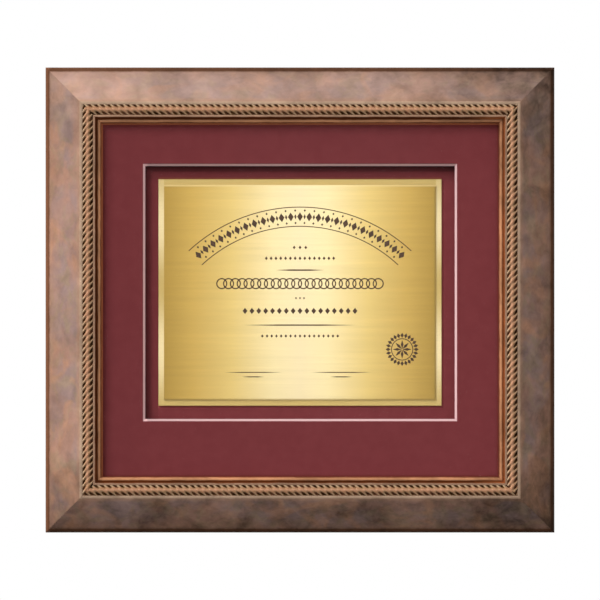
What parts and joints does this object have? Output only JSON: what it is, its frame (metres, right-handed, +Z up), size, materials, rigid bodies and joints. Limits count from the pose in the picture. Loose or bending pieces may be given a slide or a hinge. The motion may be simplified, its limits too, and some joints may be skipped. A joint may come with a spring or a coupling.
{
  "type": "certificate frame",
  "caption": "Wall-hung certificate frame: mitred bronze moulding with rope ornament, bevelled burgundy mat, recessed brushed brass plaque, sealed back and swinging ring hangers.",
  "frame": {"origin": "the point of the wall behind the middle of the frame, in the plane where the bumpers touch it", "axes": "+X to the right seen from the front, +Y into the wall, +Z up; the picture faces -Y"},
  "size_m": [0.456, 0.0349, 0.4168],
  "materials": {
    "moulding": "mottled antique bronze patina over wood, satin",
    "rope_ornament": "pressed ornament, rubbed gold-bronze with dark recesses",
    "clear_glazing": "clear, low reflection",
    "burgundy_mat": "matt burgundy facing paper",
    "mat_core": "white mat board core",
    "foam_board": "white foam board, paper faced",
    "foam_tape": "white foam mounting tape",
    "polished_brass": "polished",
    "brushed_brass": "brushed lengthways, satin",
    "zinc_steel": "zinc plated",
    "nickel_steel": "nickel plated",
    "kraft_paper": "brown kraft paper, matt",
    "bumper_rubber": "soft, matt"
  },
  "bodies": {
    "frame": {"rail_top": "moulding", "rail_right": "moulding", "rail_bottom": "moulding", "rail_left": "moulding", "rope_top": "rope_ornament", "rope_right": "rope_ornament", "rope_bottom": "rope_ornament", "rope_left": "rope_ornament", "corner_wedges": "zinc_steel", "glazing": "clear_glazing", "window_mat_facing": "burgundy_mat", "window_mat_core": "mat_core", "spacer_top": "foam_board", "spacer_bottom": "foam_board", "spacer_left": "foam_board", "spacer_right": "foam_board", "backing_mat": "burgundy_mat", "plaque_mounting_pads": "foam_tape", "border_plate": "polished_brass", "face_plate_tape": "foam_tape", "face_plate": "brushed_brass", "backing_board": "foam_board", "board_points": "zinc_steel", "dust_cover": "kraft_paper", "left_hanger_strap": "nickel_steel", "right_hanger_strap": "nickel_steel", "hanger_screws": "zinc_steel", "left_bumper": "bumper_rubber", "right_bumper": "bumper_rubber"},
    "left_ring": {"left_hanger_ring": "nickel_steel"},
    "right_ring": {"right_hanger_ring": "nickel_steel"}
  },
  "joints": [
    {"name": "left_ring_swing", "type": "hinge", "parent": "frame", "child": "left_ring", "pos_m": [-0.207, -0.00242, 0.0964], "axis": [1, 0, 0], "range_deg": [0, 174]},
    {"name": "right_ring_swing", "type": "hinge", "parent": "frame", "child": "right_ring", "pos_m": [0.207, -0.00242, 0.0964], "axis": [1, 0, 0], "range_deg": [0, 174]}
  ]
}
